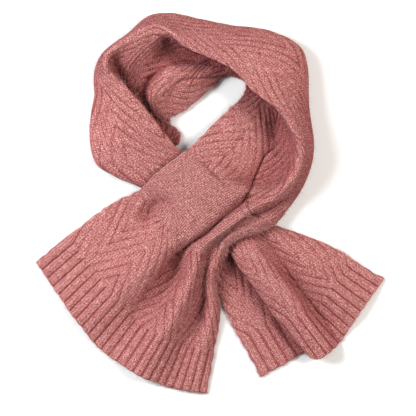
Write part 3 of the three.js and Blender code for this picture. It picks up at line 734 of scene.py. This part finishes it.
def yarn(slot, stitch_depth, wale_painted_shade):
    """Brushed melange wool, with the V of each stitch as bump and as painted shade in the colour,
    both following the cloth.
    """
    material = bpy.data.materials.new(slot + "_yarn")
    material["slot"] = slot
    material.use_nodes = True
    material.node_tree.nodes.clear()
    make, maths = node_maker(material)

    cloth = make("ShaderNodeSeparateXYZ", {0: make("ShaderNodeUVMap", uv_map="UVMap").outputs[0]})
    across = maths("MULTIPLY", cloth.outputs["X"], 100 / WALE)
    along = maths("MULTIPLY", cloth.outputs["Y"], 100 / COURSE)
    leg = maths("ABSOLUTE", maths("SUBTRACT", maths("FRACT", across), 0.5))
    between_wales = maths("POWER", maths("MULTIPLY", leg, 2.0), 2.5)
    climbing = maths("SUBTRACT", along, maths("MULTIPLY", leg, V_RISE))
    lengthways = maths("ABSOLUTE", maths("SUBTRACT", maths("FRACT", climbing), 0.5))
    sideways = maths("ABSOLUTE", maths("SUBTRACT", leg, 0.25))
    round_along = maths("SUBTRACT", 1.0, maths("POWER", maths("MULTIPLY", lengthways, 2.0), 2.0))
    round_across = maths("SUBTRACT", 1.0, maths("POWER", maths("MULTIPLY", sideways, 4.0), 2.0))
    stitch = maths("MULTIPLY", round_along, maths("MULTIPLY_ADD", round_across, 0.7, 0.3))

    phase = make("ShaderNodeAttribute", attribute_name="rib_phase").outputs["Fac"]
    off_groove = maths("ABSOLUTE", maths("SUBTRACT", maths("FRACT", phase), 0.5))
    groove = maths("SUBTRACT", 1.0, maths("SMOOTH_MIN", maths(
        "DIVIDE", off_groove, GROOVE_WIDTH / RIB_PITCH), 1.0, 0.3))
    strength = make("ShaderNodeAttribute", attribute_name="rib_strength").outputs["Fac"]
    groove = maths("MULTIPLY", groove, strength)
    openness_for_painted_shade = make("ShaderNodeAttribute", attribute_name="openness_for_painted_shade").outputs["Fac"]

    place = make("ShaderNodeTexCoord").outputs["Object"]
    fleck = make("ShaderNodeTexNoise", {"Vector": place, "Scale": FLECKS, "Detail": 2.0,
                                        "Roughness": 0.6}).outputs[0]
    cloud = make("ShaderNodeTexNoise", {"Vector": place, "Scale": CLOUDS, "Detail": 3.0}).outputs[0]

    ramp = make("ShaderNodeValToRGB", {0: fleck})
    stops = ramp.color_ramp.elements
    stops[0].position, stops[0].color = YARN_DARK
    stops[1].position, stops[1].color = YARN_LIGHT
    stops.new(YARN_MIDDLE[0]).color = YARN_MIDDLE[1]
    # Painted shade of the knit: lighter on the legs of each stitch, darker between stitches and
    # between the wales
    shade = maths("MULTIPLY_ADD", stitch, 0.60, 0.60)
    wales = maths("MULTIPLY_ADD", between_wales, -wale_painted_shade, 1 + 0.28 * wale_painted_shade)
    shade = maths("MULTIPLY", shade, wales)
    shade = maths("MULTIPLY", shade, maths("MULTIPLY_ADD", cloud, 0.30, 0.85))
    # Painted shade in the grooves between ribs
    shade = maths("MULTIPLY", shade, maths("MULTIPLY_ADD", groove, -GROOVE_SHADE, 1.0))
    # Painted shade: the colour grows darker where the cloth is less open to the sky, in hollows and
    # under folds
    shade = maths("MULTIPLY", shade, openness_for_painted_shade)
    reddened = {n: maths("POWER", shade, power) for n, power in enumerate(SHADE_POWERS)}
    tint = make("ShaderNodeCombineXYZ", reddened).outputs[0]
    colour = make("ShaderNodeVectorMath", {0: ramp.outputs[0], 1: tint},
                  operation="MULTIPLY").outputs[0]

    relief = maths("MULTIPLY_ADD", stitch, stitch_depth, maths("MULTIPLY", fleck, 0.4))
    relief = maths("MULTIPLY_ADD", groove, -1.0, relief)
    bump = make("ShaderNodeBump", {"Height": relief, "Strength": 0.8, "Distance": BUMP})
    shader = make("ShaderNodeBsdfPrincipled", {
        "Base Color": colour, "Roughness": 0.95, "Normal": bump.outputs[0],
        "Specular IOR Level": 0.1, "Sheen Weight": 0.08, "Sheen Roughness": 0.6,
        "Sheen Tint": (0.95, 0.70, 0.67, 1),
    })
    make("ShaderNodeOutputMaterial", {"Surface": shader.outputs[0]})
    return material


def plain_paint(name, colour):
    material = bpy.data.materials.new(name)
    material.use_nodes = True
    shader = material.node_tree.nodes["Principled BSDF"]
    shader.inputs["Base Color"].default_value = (*colour, 1)
    shader.inputs["Roughness"].default_value = 0.9
    shader.inputs["Specular IOR Level"].default_value = 0.1
    return material


def table_top():
    bpy.ops.mesh.primitive_plane_add(size=6, location=(0, 0, 0))
    table = bpy.context.object
    table.name = "table"
    table.data.materials.append(plain_paint("table_white", TABLE_COLOUR))


def area_light(name, place, aim, size, power, colour=(1, 1, 1)):
    data = bpy.data.lights.new(name, "AREA")
    data.shape = "DISK"
    data.size = size
    data.energy = power
    data.color = colour
    lamp = bpy.data.objects.new(name, data)
    lamp.location = place
    lamp.rotation_euler = (Vector(aim) - Vector(place)).to_track_quat("-Z", "Y").to_euler()
    bpy.context.collection.objects.link(lamp)


# The view from straight above: a long lens, so that what stands higher is hardly larger
VIEW_CENTRE = (208, 208)
VIEW_SIDE = 416 * PIXEL
CAMERA_HEIGHT = 5.0
SENSOR = 36.0


def overhead_camera():
    data = bpy.data.cameras.new("overhead")
    data.sensor_width = SENSOR
    data.lens = SENSOR * CAMERA_HEIGHT / (VIEW_SIDE * MM)
    data.clip_start, data.clip_end = 0.1, 20
    camera = bpy.data.objects.new("overhead", data)
    x, y, _ = on_table((*VIEW_CENTRE, 0))
    camera.location = (x * MM, y * MM, CAMERA_HEIGHT)
    bpy.context.collection.objects.link(camera)
    bpy.context.scene.camera = camera


def white_world(strength):
    world = bpy.data.worlds.new("studio")
    world.use_nodes = True
    world.node_tree.nodes["Background"].inputs["Color"].default_value = (1, 1, 1, 1)
    world.node_tree.nodes["Background"].inputs["Strength"].default_value = strength
    bpy.context.scene.world = world


table_top()
rib_knit = yarn("rib_knit", 0.9, 0.35)
plain_yarn = yarn("plain_knit", 1.2, 0.9)
fibre = plain_paint("mohair_fibre", FIBRE_COLOUR)
fibre["slot"] = "rib_knit"
whole = (0, CLOTH_WIDTH)
tail_whole = (0, TAIL_CLOTH_WIDTH)
stretch("hem_left", strip, whole, (0, hem_end), border, 1, rib_knit, free="start")
stretch("tail_left", strip, whole, (hem_end, slot_start), slanting, 1, rib_knit)
stretch("slot_front", strip, whole, (slot_start, slot_end), plain, 1, plain_yarn)
stretch("neck_right", strip, whole, (slot_end, right_end), slanting, -1, rib_knit)
stretch("neck_back", strip, whole, (right_end, back_end), slanting, -1, rib_knit)
stretch("neck_corner", strip, whole, (back_end, corner_end), slanting, -1, rib_knit)
stretch("neck_left", strip, (LEFT_CLOTH_START, CLOTH_WIDTH), (corner_end, left_end),
        slanting, -1, rib_knit, free="end")
stretch("tail_right", tail, tail_whole, (0, tail_hem), slanting, -1, rib_knit, free="start")
stretch("hem_right", tail, tail_whole, (tail_hem, tail_end), border, 1, rib_knit, free="end")
slot_back(plain_yarn)
gathered(rib_knit)
shade_by_sky([o for o in bpy.data.objects if o.name.endswith("_cloth")])

white_world(0.2)
area_light("left_softbox", (-1.6, 0.5, 1.25), (0, 0, 0), 1.0, 66, (0.96, 0.985, 1.0))
area_light("right_softbox", (1.5, 0.45, 1.4), (0, 0, 0), 1.0, 44, (1.0, 0.94, 0.88))
bpy.context.scene.view_settings.view_transform = "Standard"
overhead_camera()
